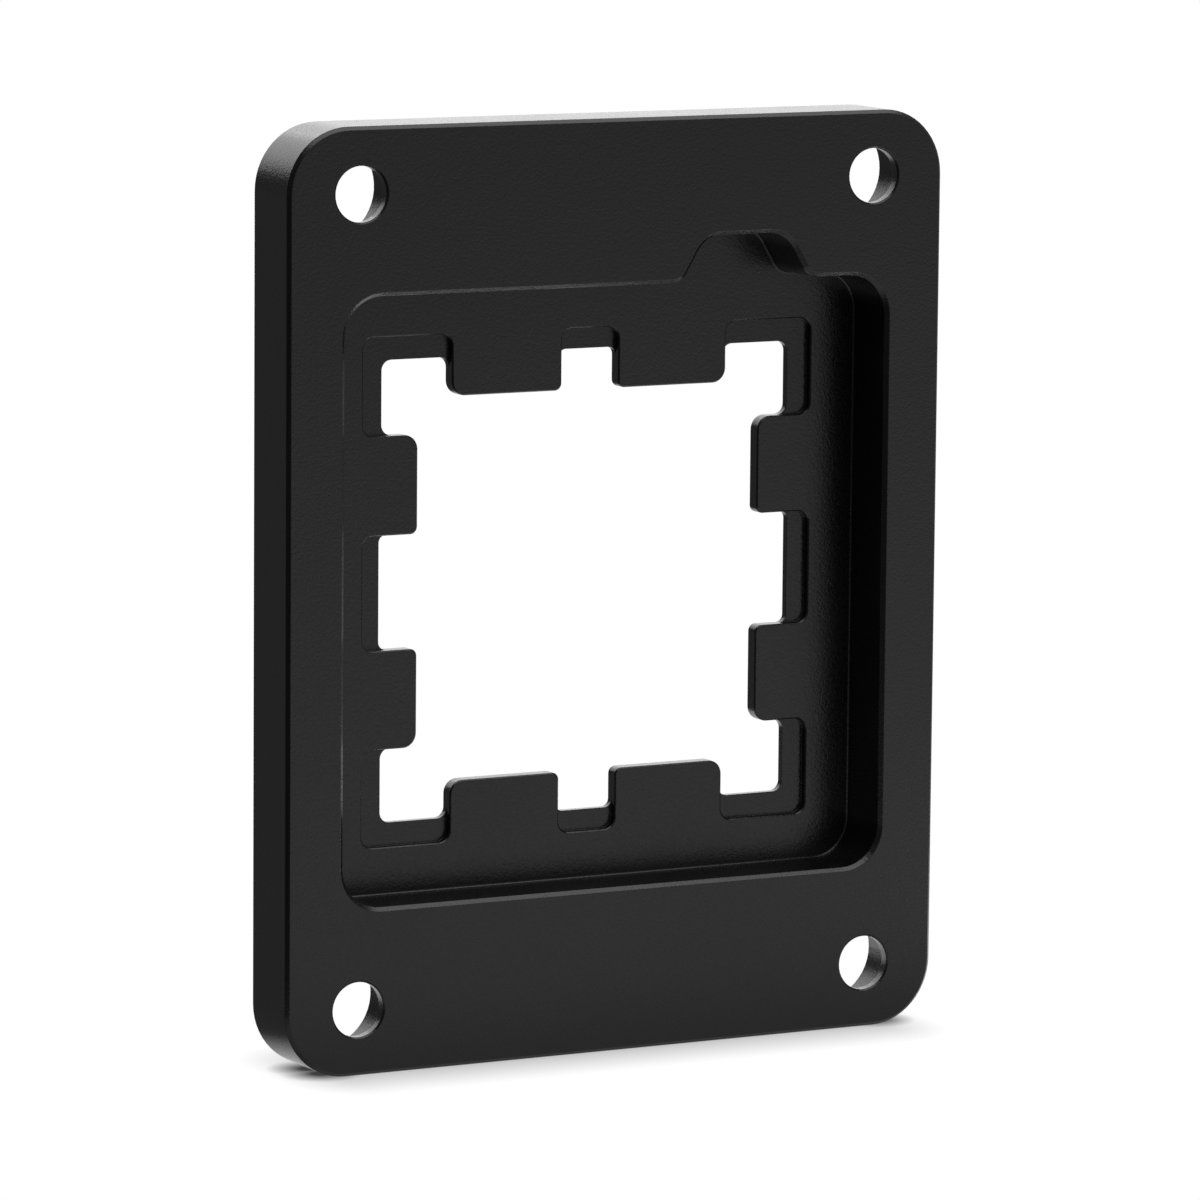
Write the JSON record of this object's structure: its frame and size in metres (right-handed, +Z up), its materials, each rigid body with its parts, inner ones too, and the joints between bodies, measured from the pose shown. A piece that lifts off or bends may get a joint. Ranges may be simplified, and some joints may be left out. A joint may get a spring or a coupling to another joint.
{
  "type": "cpu socket retention frame",
  "caption": "Flat rectangular metal frame with a square pocket on one face, a tabbed square window through its floor, a rounded side lobe, and corner screw holes.",
  "frame": {"origin": "middle of the bottom edge, where the frame stands on a surface", "axes": "+X across the short side, +Y through the thickness from the pocket side to the flat back, +Z up the long side"},
  "size_m": [0.0556, 0.006, 0.071],
  "materials": {
    "anodised_aluminium": "black anodised, fine bead-blasted satin"
  },
  "bodies": {
    "root": {"retention_frame": "anodised_aluminium"}
  },
  "joints": []
}
